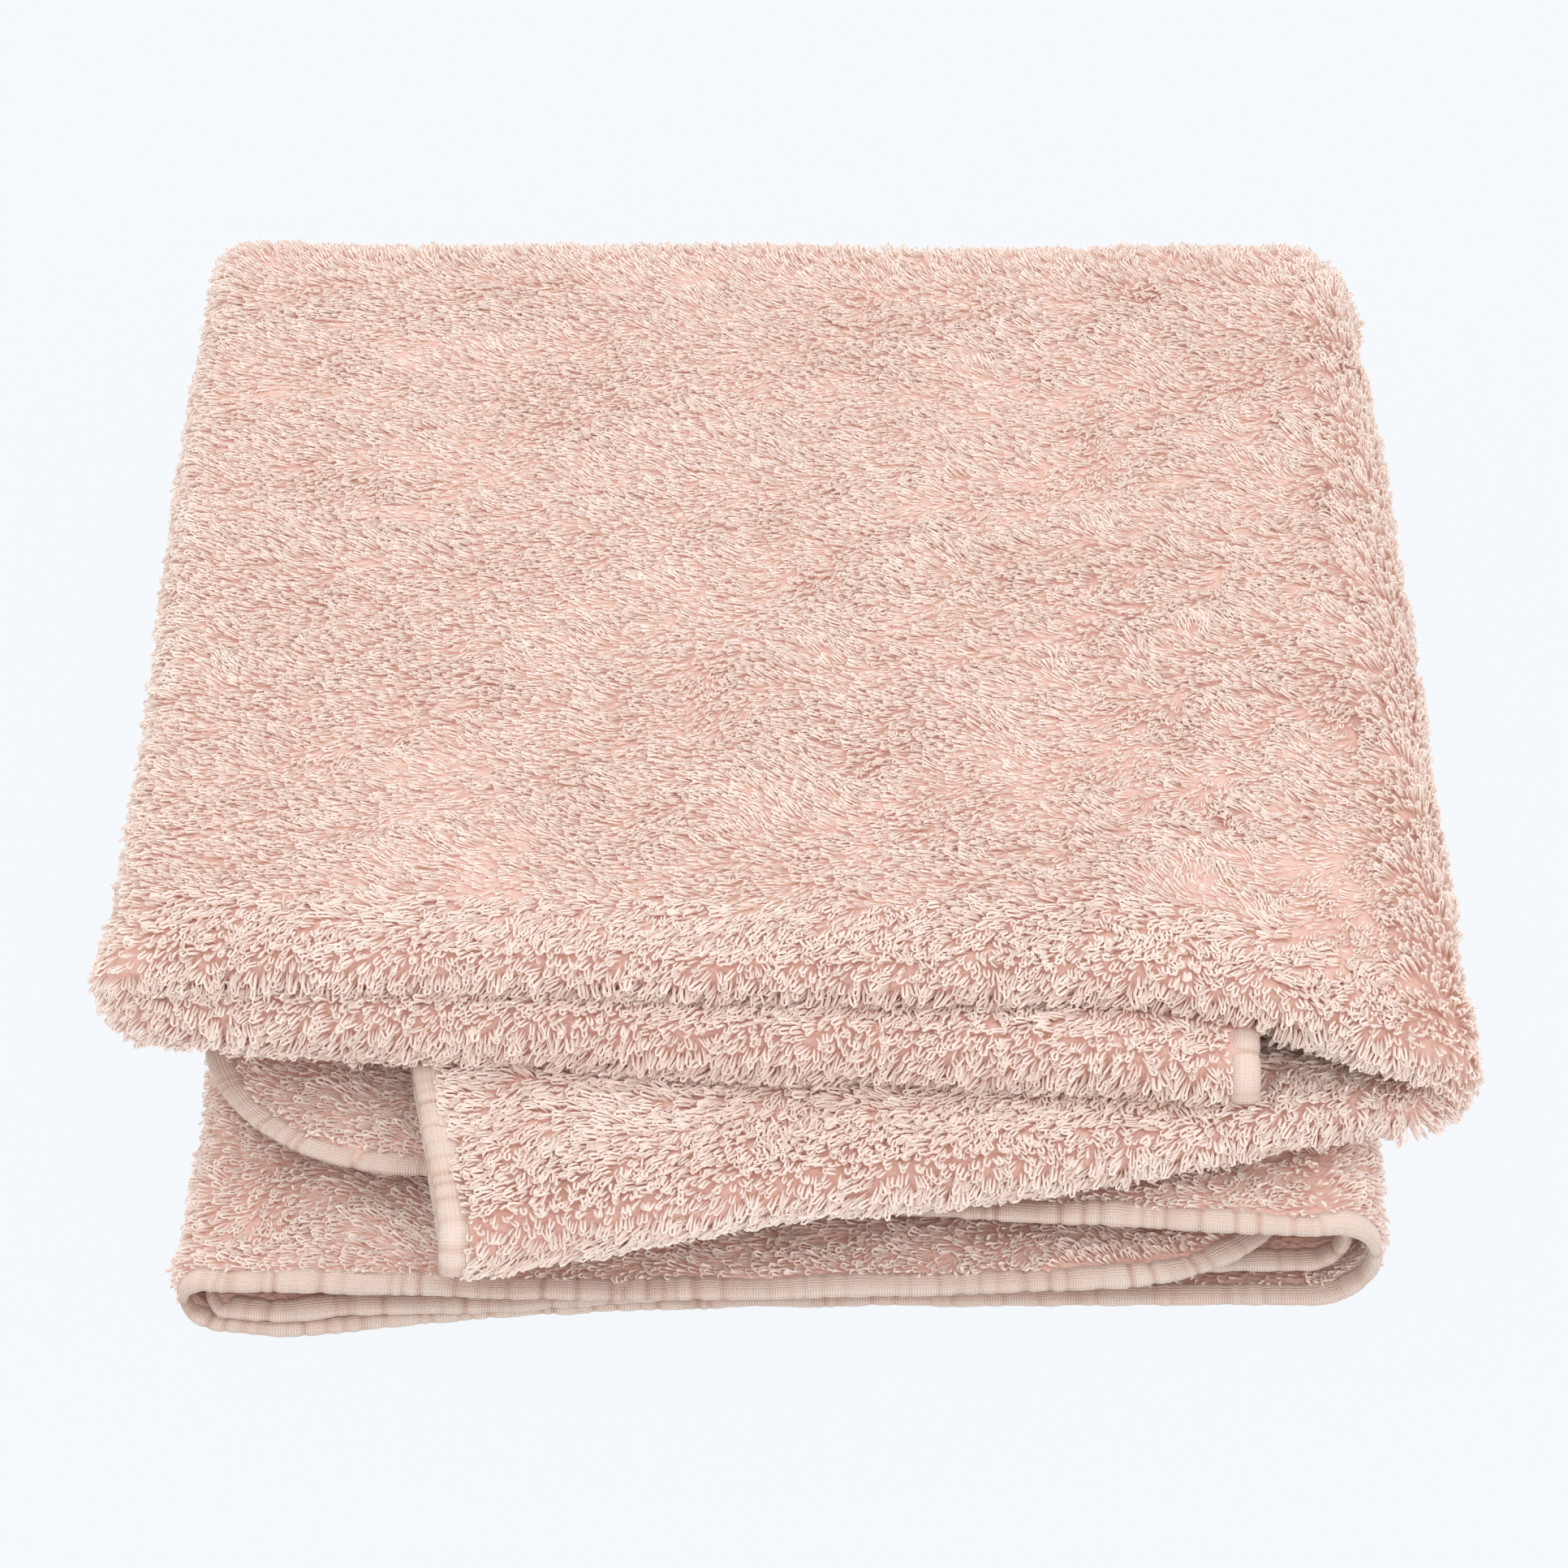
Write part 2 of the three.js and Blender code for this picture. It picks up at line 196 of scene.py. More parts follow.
def stack_layout(along):
    """Places across the stack at a place along it: the folds' centres and the flaps' free ends."""
    depth = np.where(along <= 1, along, np.where(along <= 2, 1.0, 3 - along))
    lower = along <= 1
    widening = ease(depth, 0.2, 1)
    flare = LEFT_FLARE * (1 - ease(depth, 0, 0.17))
    left_side = np.where(lower, mix(LOWER_LEFT, UPPER_LEFT, widening) + flare, UPPER_LEFT)
    right_side = np.where(lower, mix(LOWER_RIGHT, UPPER_RIGHT, depth), UPPER_RIGHT)
    left_short = np.where(lower, mix(*LEFT_SHORT_LOWER, depth), mix(*LEFT_SHORT_UPPER, depth))
    right_short = np.where(lower, mix(*RIGHT_SHORT_LOWER, depth), mix(*RIGHT_SHORT_UPPER, depth))
    return {
        "left fold": -(left_side - LEFT_FOLD_RADIUS - PLY),
        "right fold": right_side - RIGHT_FOLD_RADIUS - PLY,
        "left flap end": right_side - left_short,
        "right flap end": -(left_side - right_short),
    }


def fold_in_thirds(across, out, at):
    """The letter fold: the place across the stack and the height over the lowest face."""
    share = across - np.clip(np.floor(across), 0, 4)
    turn = math.pi * share
    left, right = at["left fold"], at["right fold"]
    part = [across < 1, across < 2, across < 3, across < 4]
    x = np.select(
        part,
        [
            mix(at["left flap end"], left, share),
            left - (LEFT_FOLD_RADIUS + out) * np.sin(turn),
            mix(left, right, share),
            right + (RIGHT_FOLD_RADIUS + out) * np.sin(turn),
        ],
        mix(right, at["right flap end"], share),
    )
    height = np.select(
        part,
        [
            3 * PLY + out,
            2 * PLY + (LEFT_FOLD_RADIUS + out) * np.cos(turn),
            PLY - out,
            3 * PLY - (RIGHT_FOLD_RADIUS + out) * np.cos(turn),
        ],
        5 * PLY + out,
    )
    return x, height


def pressed_height(across, out, x, height):
    """Height over the lowest face where the lower half's front lies pressed."""
    low = PLY - out
    high = np.where(across < 2, 3 * PLY, 5 * PLY) + out
    right = ease(x, 0, 90)

    def level(z):
        on_left = np.interp(z, EVEN_HEIGHTS, LEFT_HEIGHTS)
        on_right = np.interp(z, EVEN_HEIGHTS, RIGHT_HEIGHTS)
        return mix(on_left, on_right, right)

    round_fold = mix(level(low), level(high), (height - low) / (high - low))
    return np.where(np.floor(across) % 2 == 1, round_fold, level(height))


def front_edge(edges, across, x, at):
    """How far back the front edge lies, at a place across the stack."""
    share = across - np.floor(across)
    left, right = at["left fold"], at["right fold"]
    round_back = 2.5 * np.sin(math.pi * share)
    left_turn = mix(edges["left flap"](left), edges["base"](left), share) + round_back
    right_turn = mix(edges["base"](right), edges["right flap"](right), share) + round_back
    return np.select(
        [across < 1, across < 2, across < 3, across < 4],
        [edges["left flap"](x), left_turn, edges["base"](x), right_turn],
        edges["right flap"](x),
    )


def corner_cut(distance):
    """How far the towel's round corner takes the short edge back, by distance from the long edge."""
    inside = np.clip(CORNER_RADIUS - distance, 0, CORNER_RADIUS)
    return CORNER_RADIUS - np.sqrt(CORNER_RADIUS**2 - inside**2)


def end_distance(across, x, at):
    """Distance from the nearer free end of a flap."""
    return np.where(
        across < 1,
        at["left flap end"] - x,
        np.where(across >= 4, x - at["right flap end"], 1000.0),
    )


def settle(points, lower, upper, pressed):
    """Lets the folded stack sag and swell as soft cloth does."""
    x, y, z = points[..., 0], points[..., 1] - FRONT_Y, points[..., 2]
    front = 1 - ease(y, 20, 170)
    # The overhanging corners of the upper half droop.
    droop = RIGHT_DROOP * ease(x, 70, 148) + LEFT_DROOP * ease(-x, 90, 148)
    sag = upper * front * droop * np.clip(z / CREASE_Z - 1, 0, 1)
    # What reaches past the lower half's front edge hangs down.
    sag = sag + upper * 0.014 * np.clip(8 - y, 0, 40) ** 2
    # The lower half's front lies pressed.
    sag = sag + lower * (1 - ease(y, 10, 90)) * (z - pressed)
    swell = upper * (1.3 * broad_swell(points) + 0.7 * small_swell(points))
    height = z / (2 * CREASE_Z)
    moved = points.copy()
    turned = points[..., [1, 2, 0]]
    moved[..., 0] += (0.8 * small_swell(turned) + 1.1 * broad_swell(turned)) * height
    moved[..., 1] += 0.8 * small_swell(points[..., [2, 0, 1]]) * height
    moved[..., 2] += swell - sag
    return moved


def fold(across, along, lift=0.0):
    """Where a point of the cloth lies once folded. lift stands off the outward face of the cloth."""
    across, along = np.broadcast_arrays(np.asarray(across, float), np.asarray(along, float))
    inner = np.where(along > 3.5, 1.0, 0.0)
    turn = math.pi * np.clip(along - 3, 0, 1)
    along = np.minimum(np.where(along > 3.5, 7 - along, along), 3)
    swelling = mix(LEFT_FLAP_BULGE, BULGE, np.clip(across - 1, 0, 1)) * ease(along, 2.93, 2.99)
    out = (PLY / 2 * (1 + swelling) + lift) * np.cos(turn)
    ahead = (NOSE + lift) * np.sin(turn)
    at = stack_layout(along)
    x, height = fold_in_thirds(across, out, at)
    lower = np.where(along <= 1, 1.0, 0.0)
    upper = np.where(along >= 2, 1.0, ease(along, 1, 2))
    start = mix(front_edge(outer_front, across, x, at), front_edge(inner_front, across, x, at), inner)
    start = FRONT_Y + start + corner_cut(end_distance(across, x, at))
    finish = FRONT_Y + front_edge(upper_front, across, x, at) + NOSE
    reach = CREASE_Z - height
    bend = math.pi * np.clip(along - 1, 0, 1)
    y = np.select(
        [along <= 1, along <= 2],
        [mix(start, CREASE_Y, along), CREASE_Y + reach * np.sin(bend)],
        mix(CREASE_Y, finish, along - 2) - ahead,
    )
    z = np.select(
        [along <= 1, along <= 2],
        [height, CREASE_Z - reach * np.cos(bend)],
        2 * CREASE_Z - height,
    )
    pressed = pressed_height(across, out, x, height)
    return settle(np.stack([x, y, z], axis=-1), lower, upper, pressed)


def unit(vectors):
    return vectors / np.maximum(np.linalg.norm(vectors, axis=-1, keepdims=True), 1e-9)


def outward(across, along):
    """Unit vectors that stand on the cloth's outward face."""
    return unit(fold(across, along, 1.0) - fold(across, along, 0.0))


# ---- Meshes ----

def add_object(name, mesh):
    piece = bpy.data.objects.new(name, mesh)
    bpy.context.scene.collection.objects.link(piece)
    return piece


def grid_mesh(name, columns, rows, shape, close_rows=False):
    """A grid whose corners at (column, row), both 0 to 1, are put where shape says."""
    bm = bmesh.new()
    bmesh.ops.create_grid(bm, x_segments=columns, y_segments=rows, size=0.5, calc_uvs=False)
    flat = np.array([v.co[:2] for v in bm.verts]) + 0.5
    for vertex, place in zip(bm.verts, shape(flat[:, 0], flat[:, 1]) * MM):
        vertex.co = place
    uv = bm.loops.layers.uv.new("Cloth")
    bm.verts.index_update()
    for face in bm.faces:
        for corner in face.loops:
            corner[uv].uv = flat[corner.vert.index]
    if close_rows:
        bmesh.ops.remove_doubles(bm, verts=bm.verts, dist=1e-6)
    bmesh.ops.recalc_face_normals(bm, faces=bm.faces)
    for face in bm.faces:
        face.smooth = True
    mesh = bpy.data.meshes.new(name)
    bm.to_mesh(mesh)
    bm.free()
    return mesh


def per_vertex(mesh, layer):
    """A mesh's UV coordinates, one pair for each vertex."""
    uv = np.zeros(len(mesh.loops) * 2, np.float32)
    mesh.uv_layers[layer].data.foreach_get("uv", uv)
    corner = np.zeros(len(mesh.loops), np.int32)
    mesh.loops.foreach_get("vertex_index", corner)
    values = np.zeros((len(mesh.vertices), 2), np.float32)
    values[corner] = uv.reshape(-1, 2)
    return values


def spread(breaks, counts):
    """Maps 0-1 evenly over stretches of a coordinate, each with its own count of cells."""
    ends = np.concatenate([[0], np.cumsum(counts)]) / sum(counts)
    return lambda share: np.interp(share, ends, breaks)


# ---- Terry cloth ----

# The cloth's mesh has small cells at the folds, the front edges and the flaps' round corners.
across_breaks = [0, 0.03, 0.22, 1, 2, 3, 4, 4.78, 4.97, 5]
across_cells = [4, 12, 12, 12, 20, 16, 12, 12, 4]
along_breaks = [0, 0.15, 1, 2, 2.85, 3, 4, 4.15, 5, 6, 6.85, 7]
along_cells = [8, 14, 20, 14, 6, 8, 6, 14, 20, 14, 8]


def crease_share(along):
    """How far round the back fold a place on the cloth lies: 0 lower half, 1 upper half."""
    return np.clip(np.where(along > 3.5, 6 - along, along - 1), 0, 1)


def make_cloth():
    """The woven ground as one sheet, and how far round the back fold each of its points lies."""
    across = spread(across_breaks, across_cells)
    along = spread(along_breaks, along_cells)
    side_inset = GROUND_INSET / TOWEL_WIDTH
    end_inset = side_inset / 4

    def shape(u, v):
        return fold(across(mix(side_inset, 1 - side_inset, u)), along(mix(end_inset, 1 - end_inset, v)))

    mesh = grid_mesh("terry_cloth", sum(across_cells), sum(along_cells), shape)
    cloth = add_object("terry_cloth", mesh)
    backing = cloth.modifiers.new("thickness", "SOLIDIFY")
    backing.thickness = GROUND_THICKNESS * MM
    backing.offset = 0
    rows = per_vertex(mesh, "Cloth")[:, 1]
    return cloth, crease_share(along(mix(end_inset, 1 - end_inset, rows)))


# ---- Loops of pile ----

def yarn_loop(rings, half_gap, turn_steps):
    """A straight upright loop of yarn, one unit high: two three-sided legs and the turn between."""
    bm = bmesh.new()
    circle = bmesh.ops.create_circle(bm, segments=3, radius=1.0)
    ring = circle["verts"]
    bmesh.ops.rotate(bm, verts=ring, matrix=Matrix.Rotation(math.pi / 2, 3, "X"))
    leg_radius = YARN / (2 * LOOP_UNIT)
    bmesh.ops.scale(bm, verts=ring, vec=(leg_radius, 1, leg_radius))
    bmesh.ops.translate(bm, verts=ring, vec=(-half_gap, 0, 0))
    edges = list({edge for vertex in ring for edge in vertex.link_edges})
    first = list(ring)
    shoulder = 1 - half_gap
    for step in rings:
        edges = extrude_ring(bm, edges, (0, step, 0))
    turned = bmesh.ops.spin(
        bm,
        geom=edges,
        cent=(0, shoulder, 0),
        axis=(0, 0, -1),
        angle=math.pi,
        steps=turn_steps,
        use_merge=False,
    )
    edges = [g for g in turned["geom_last"] if isinstance(g, bmesh.types.BMEdge)]
    for step in reversed(rings):
        edges = extrude_ring(bm, edges, (0, -step, 0))
    last = list({vertex for edge in edges for vertex in edge.verts})
    for ring in (first, last):
        middle = sum((vertex.co for vertex in ring), Vector()) / len(ring)
        bmesh.ops.pointmerge(bm, verts=ring, merge_co=middle)
    bmesh.ops.recalc_face_normals(bm, faces=bm.faces)
    bmesh.ops.triangulate(bm, faces=bm.faces)
    bm.verts.index_update()
    places = np.array([v.co for v in bm.verts])
    faces = np.array([[v.index for v in f.verts] for f in bm.faces])
    bm.free()
    return places, faces


def extrude_ring(bm, edges, step):
    """Draws a ring of edges out by one step and gives the new ring's edges."""
    made = bmesh.ops.extrude_edge_only(bm, edges=edges)["geom"]
    moved = [g for g in made if isinstance(g, bmesh.types.BMVert)]
    bmesh.ops.translate(bm, verts=moved, vec=step)
    return [g for g in made if isinstance(g, bmesh.types.BMEdge) and all(v in moved for v in g.verts)]


full_loop = yarn_loop([0.42, 0.47], 0.09, 2)
plain_loop = yarn_loop([0.89], 0.09, 2)
lean_loop = yarn_loop([0.93], 0.085, 1)

whirl_wide = make_noise(26, SEED + 11)
whirl_small = make_noise(8, SEED + 12)
tuft_lean = make_noise(6, SEED + 13)
tone_patches = make_noise(16, SEED + 14)


def edge_gap(across, along):
    """Distance from the towel's free edge, and the way towards it."""
    flat = np.minimum(np.where(along > 3.5, 7 - along, along), 3)
    at = stack_layout(flat)
    x, _ = fold_in_thirds(across, np.zeros_like(across), at)
    side = end_distance(across, x, at)
    depth = np.where(flat < 1, flat * (CREASE_DEPTH - corner_cut(side)) + corner_cut(side), 1000.0)
    sideways = np.clip(CORNER_RADIUS - side, 0, CORNER_RADIUS)
    forward = np.clip(CORNER_RADIUS - depth, 0, CORNER_RADIUS)
    gap = np.minimum(np.minimum(side, depth), CORNER_RADIUS - np.hypot(sideways, forward))
    towards = np.stack([np.where(across < 1, sideways, -sideways), -forward, 0 * forward], axis=-1)
    return gap, unit(towards)


def comb_direction(across, along, places):
    """Which way the loops lie: brushed to the left, and spilling over the folds and the tape."""
    flat = np.minimum(np.where(along > 3.5, 7 - along, along), 3)
    at = stack_layout(flat)
    x = places[:, 0]
    curl = mix(0.35, 0.65, ease(x, -20, 110))
    heading = math.pi + 0.3 + 0.35 * whirl_wide(places) + curl * whirl_small(places)
    comb = np.stack([np.cos(heading), np.sin(heading), 0 * heading], axis=-1)
    # On the right fold the pile keeps to the way of the cloth, up and over to the left.
    around = unit(fold(across - 0.02, along) - fold(across + 0.02, along))
    around[:, 1] += 0.4 * whirl_small(places)
    comb = mix(comb, around, ease(x - at["right fold"], -4, 5)[:, None])

    ahead = ease(flat, 2.91, 3.0) * np.where(along >= 2, 1.4, 0)
    behind = 1.3 * ease(-np.abs(flat - 1.5), -0.56, -0.49)
    left = 1.1 * ease(at["left fold"] - x, -6, 4)
    comb += ahead[:, None] * [0, -1, -0.9]
    comb += behind[:, None] * [0, 1, -0.9]
    comb += left[:, None] * [-1, 0, -0.9]
    gap, towards = edge_gap(across, along)
    comb += (0.5 * (1 - ease(gap, TAPE_WIDTH, TAPE_WIDTH + 4)))[:, None] * towards
    return comb


def gather_tufts(roots, pitch, random):
    """Groups the loops in tufts: the way to each tuft's middle and its random numbers."""
    number = len(roots)
    tufts = max(1, round(number * (pitch / TUFT) ** 2))
    middles = random.choice(number, tufts, replace=False)
    tree = KDTree(len(middles))
    for i, middle in enumerate(middles):
        tree.insert(roots[middle], i)
    tree.balance()
    tuft = np.array([tree.find(root)[1] for root in roots])
    values = random.uniform(-1, 1, (4, len(middles)))
    return (roots[middles[tuft]] - roots) / TUFT, values[:, tuft]


def scatter(across_range, along_range, pitch, random):
    """Root places on a shaken grid over one stretch of cloth."""
    middle_across, middle_along = np.mean(across_range), np.mean(along_range)
    steps = np.linspace(0, 1, 60)

    def run(across, along):
        line = fold(across, along)
        return np.linalg.norm(np.diff(line, axis=0), axis=1).sum()

    columns = max(1, round(run(mix(*across_range, steps), middle_along) / pitch))
    rows = max(1, round(run(middle_across, mix(*along_range, steps)) / pitch))
    column, row = np.meshgrid(np.arange(columns), np.arange(rows))
    shake = random.uniform(-0.42, 0.42, (2, rows, columns))
    shares = (column + 0.5 + 0.5 * (row % 2) - 0.25 + shake[0]) / columns, (row + 0.5 + shake[1]) / rows
    return tuple(
        np.clip(mix(*span, share.ravel()), *span)
        for span, share in zip((across_range, along_range), shares)
    )


def grow(name, stretches, shape, height, stand, face):
    """Makes the pile on stretches of cloth, in pieces that each keep to MAX_TRIANGLES."""
    random = np.random.default_rng(SEED + len(name) * 31 + sum(map(ord, name)))
    roots = [scatter(a, b, pitch, random) for a, b, pitch in stretches]
    across = np.concatenate([r[0] for r in roots])
    along = np.concatenate([r[1] for r in roots])
    keep = edge_gap(across, along)[0] > 0.9 * TAPE_WIDTH
    across, along = across[keep], along[keep]
    pitch = stretches[0][2]
    pieces = []
    count = max(1, math.ceil(len(across) * len(shape[1]) / MAX_TRIANGLES))
    order = np.argsort(fold(across, along)[:, 0], kind="stable")
    for i, chosen in enumerate(np.array_split(order, count)):
        label = name if count == 1 else f"{name}_{i + 1}"
        place = across[chosen], along[chosen]
        pieces.append(pile_piece(label, place, shape, height, stand, face, pitch, random))
    return pieces


def pile_piece(name, place, shape, height, stand, face, pitch, random):
    """One mesh of loops, each bent over the way the pile is combed."""
    across, along = place
    template, faces = shape
    normals = outward(across, along) * face
    roots = fold(across, along) + ROOT_LIFT * normals
    to_middle, by_tuft = gather_tufts(roots, pitch, random)
    comb = comb_direction(across, along, roots) + (0.1 + 1.5 * stand) * to_middle
    comb = comb - (comb * normals).sum(axis=1, keepdims=True) * normals
    strength = np.linalg.norm(comb, axis=1)
    curly = ease(roots[:, 0], -20, 110)
    spin = random.normal(0, 0.18, len(roots)) + (0.25 + 2 * stand + 0.3 * curly) * by_tuft[0]
    ahead = turn_in_plane(unit(comb), normals, spin)

    near_tape = 1 - ease(edge_gap(across, along)[0], TAPE_WIDTH, TAPE_WIDTH + 4)
    length = height * random.uniform(0.75, 1.15, len(roots)) * (1 + 0.12 * by_tuft[2])
    length *= 1 - 0.3 * near_tape
    turning = np.where(np.floor(along) == 3, 0.3, 0.0)
    lean = (1 - stand) * (1 - turning) * (1 - 0.2 * near_tape) * np.clip(strength, 0.35, 1)
    points = bend_loops(template, roots, normals, ahead, length, lean, by_tuft[1], random)
    mesh = join_loops(name, points, faces)

    tone = 0.5 + 0.12 * tone_patches(roots) + 0.12 * by_tuft[3] + random.normal(0, 0.12, len(roots))
    mark_yarn(mesh, template, faces, tone)
    return add_object(name, mesh), np.repeat(crease_share(along), len(template))


def turn_in_plane(ahead, normals, angle):
    """Turns each direction about its normal."""
    return ahead * np.cos(angle)[:, None] + np.cross(normals, ahead) * np.sin(angle)[:, None]


def bend_loops(template, roots, normals, ahead, length, lean, lean_by, random):
    """Points of every loop: each rises from its root, bends at its knee and lies over ahead."""
    number = len(roots)
    sideways = np.cross(normals, ahead)
    first = np.radians(random.uniform(16, 50, number) + 8 * lean_by) * lean
    last = np.radians(89 + 4 * tuft_lean(roots) + 5 * lean_by + random.normal(0, 6, number))
    last = np.maximum(last * (0.25 + 0.75 * lean), first + 0.15)
    twist_start = random.normal(0, 0.5, number)
    twist_more = random.normal(0, 0.6, number)

    side, rise, thick = template[:, 0], template[:, 1], template[:, 2]
    turn = (last - first)[:, None] / KNEE
    angle = first[:, None] + turn * np.minimum(rise, KNEE)
    past = np.maximum(rise - KNEE, 0)
    up = (np.sin(angle) - np.sin(first)[:, None]) / turn + past * np.cos(angle)
    forward = (np.cos(first)[:, None] - np.cos(angle)) / turn + past * np.sin(angle)
    sway = random.normal(0, 0.14, number)[:, None] * rise**2
    centre = (
        roots[:, None]
        + (length[:, None] * up)[..., None] * normals[:, None]
        + (length[:, None] * forward)[..., None] * ahead[:, None]
        + (length[:, None] * sway)[..., None] * sideways[:, None]
    )
    over = np.cos(angle)[..., None] * ahead[:, None] - np.sin(angle)[..., None] * normals[:, None]
    twist = (twist_start[:, None] + twist_more[:, None] * rise)[..., None]
    beside = sideways[:, None] * np.cos(twist) + over * np.sin(twist)
    across_yarn = over * np.cos(twist) - sideways[:, None] * np.sin(twist)
    gap = LOOP_UNIT * random.uniform(0.75, 1.35, number)[:, None]
    points = centre + (gap * side)[..., None] * beside + LOOP_UNIT * thick[:, None] * across_yarn
    points[..., 2] = np.maximum(points[..., 2], 0.1)
    return points


def join_loops(name, points, faces):
    """One mesh of many copies of a loop: each is bent its own way and joined up as its template."""
    number, corners = points.shape[:2]
    corner = (faces[None] + (np.arange(number) * corners)[:, None, None]).reshape(-1)
    triangles = len(corner) // 3
    mesh = bpy.data.meshes.new(name)
    mesh.vertices.add(number * corners)
    mesh.vertices.foreach_set("co", (points * MM).astype(np.float32).ravel())
    mesh.loops.add(len(corner))
    mesh.loops.foreach_set("vertex_index", corner.astype(np.int32))
    mesh.polygons.add(triangles)
    mesh.polygons.foreach_set("loop_start", np.arange(0, len(corner), 3, dtype=np.int32))
    mesh.polygons.foreach_set("loop_total", np.full(triangles, 3, dtype=np.int32))
    mesh.update(calc_edges=True)
    mesh.shade_flat()
    return mesh


def mark_yarn(mesh, template, faces, tone):
    """Writes each loop's own tone, and the height along its yarn that the yarn's colour reads for its
    painted shade towards the root.
    """
    side, rise = template[:, 0], template[:, 1]
    shade = np.clip(tone, 0.02, 0.97)[:, None] + 0.01 * np.sign(side)
    uv = np.stack(np.broadcast_arrays(shade, 0.02 + 0.96 * rise), axis=-1)
    layer = mesh.uv_layers.new(name="OFBake")
    layer.data.foreach_set("uv", uv[:, faces.ravel()].astype(np.float32).ravel())


# ---- Edge tape ----

def edge_route(samples):
    """The towel's outline, once round, as across and along values."""
    share = np.linspace(0, 1, samples, endpoint=False)
    zero = np.zeros(samples)
    # A short edge has a round corner at each end, so its samples crowd towards both.
    bunched = 0.5 - 0.5 * np.cos(math.pi * share)
    across = np.concatenate([5 * bunched, zero + 5, 5 - 5 * bunched, zero])
    along = np.concatenate([zero, 7 * share, zero + 7, 7 - 7 * share])
    return across, along


def ring_average(values, width):
    """Evens out values round a closed ring, over width places either way."""
    kernel = np.hanning(2 * width + 3)[1:-1]
    kernel /= kernel.sum()
    padded = np.concatenate([values[-width:], values, values[:width]])
    return np.stack([np.convolve(padded[:, i], kernel, "valid") for i in range(values.shape[1])], axis=1)


def tape_route(step, inset):
    """Evenly spaced places along the outline, inset from the edge, with the tape's directions."""
    across, along = edge_route(6000)
    places = fold(across, along)
    normals = outward(across, along)
    strides = np.linalg.norm(np.diff(places, axis=0, append=places[:1]), axis=1)
    stops = np.concatenate([[0], np.cumsum(strides)])
    total = stops[-1]
    count = round(total / step)
    wanted = np.arange(count) * total / count

    def resample(values):
        closed = np.concatenate([values, values[:1]])
        return np.stack([np.interp(wanted, stops, closed[:, i]) for i in range(3)], axis=1)

    share = np.interp(wanted, stops, np.append(crease_share(along), 0))
    places, normals = resample(places), unit(resample(normals))
    tangents = unit(np.roll(places, -1, axis=0) - np.roll(places, 1, axis=0))
    tangents = unit(ring_average(tangents, 2))
    inward = unit(np.cross(tangents, normals))
    places = ring_average(places + inset * inward, 2)
    return wanted, total, places, normals, inward, share


def puckers(distance, total, random):
    """Depth of the tape's puckers: narrow valleys at uneven steps, 0 to 1."""
    valleys = np.cumsum(random.uniform(1.4, 5.2, int(total / 3)))
    valleys = valleys[valleys < total - 4]
    depths = random.uniform(0.2, 1.0, len(valleys)) ** 1.6
    nearest = np.clip(np.searchsorted(valleys, distance), 1, len(valleys) - 1)
    left = distance - valleys[nearest - 1]
    right = valleys[nearest] - distance
    near = np.where(left < right, nearest - 1, nearest)
    away = np.abs(distance - valleys[near])
    return depths[near] * np.exp(-((away / 0.7) ** 2))


def make_tape():
    """The tape as one closed band round the cloth's edge, and its share of the back fold."""
    random = np.random.default_rng(SEED + 40)
    around = 10
    past_edge = 0.3
    route = tape_route(TAPE_STEP, TAPE_WIDTH / 2 - past_edge)
    distance, total, places, normals, inward, share = route
    valley = puckers(distance, total, random)
    wave = make_noise(14, SEED + 41)(places)
    ripple = make_noise(4, SEED + 42)(places)

    def ring(u):
        return np.round(u * len(distance)).astype(int) % len(distance)

    def shape(u, v):
        i = ring(u)
        angle = TAU * v
        reach = np.sign(np.cos(angle)) * np.abs(np.cos(angle)) ** 0.8
        rise = np.sign(np.sin(angle)) * np.abs(np.sin(angle)) ** 0.65
        thickness = TAPE_THICKNESS / 2 * (1.0 - 0.4 * valley[i] + 0.08 * wave[i] + 0.05 * ripple[i])
        width = TAPE_WIDTH / 2 * (1.0 - 0.07 * valley[i] + 0.04 * wave[i] + 0.04 * ripple[i])
        place = places[i] + (0.25 * wave[i])[:, None] * normals[i]
        place = place - (width * reach)[:, None] * inward[i] + (thickness * rise)[:, None] * normals[i]
        place[:, 2] = np.maximum(place[:, 2], 0.05)
        return place

    mesh = grid_mesh("edge_tape", len(distance), around, shape, close_rows=True)
    step = ring(per_vertex(mesh, "Cloth")[:, 0])
    pucker = valley[step].astype(np.float32)
    mesh.attributes.new("pucker", "FLOAT", "POINT").data.foreach_set("value", pucker)
    uv = mesh.uv_layers["Cloth"].data
    flat = np.zeros(len(uv) * 2, np.float32)
    uv.foreach_get("uv", flat)
    girth = 2.6 * TAPE_WIDTH
    stretched = flat.reshape(-1, 2) * np.array([total * MM, girth * MM])
    uv.foreach_set("uv", stretched.astype(np.float32).ravel())
    return add_object("edge_tape", mesh), share[step]


# ---- Materials ----

def srgb(red, green, blue):
    """A colour given in 0-255 display values, as linear light."""
    def linear(value):
        value /= 255
        return value / 12.92 if value <= 0.04045 else ((value + 0.055) / 1.055) ** 2.4
    return (linear(red), linear(green), linear(blue), 1)


# The yarn turns darker and more salmon from the loop's turn down to its root, and the ground darker
# still: painted shade deep in the pile.
PALE_YARN = srgb(244, 231, 223)
YARN_PAINTED_HALF_SHADE = srgb(241, 220, 210)
YARN_PAINTED_ROOT_SHADE = srgb(230, 189, 176)
GROUND_PAINTED_SHADE = srgb(232, 198, 186)
TAPE_COLOUR = srgb(252, 234, 224)
WORN_TAPE = srgb(248, 226, 214)
FLOOR_COLOUR = srgb(247, 250, 254)

# Shares of a colour, for what darkens it.
WHITE = (1, 1, 1, 1)
DULL = (0.96, 0.925, 0.905, 1)
BETWEEN_THREADS = (0.8, 0.74, 0.7, 1)
# Painted shade in the tape's pucker valleys.
PUCKER_PAINTED_SHADE = (0.82, 0.7, 0.64, 1)


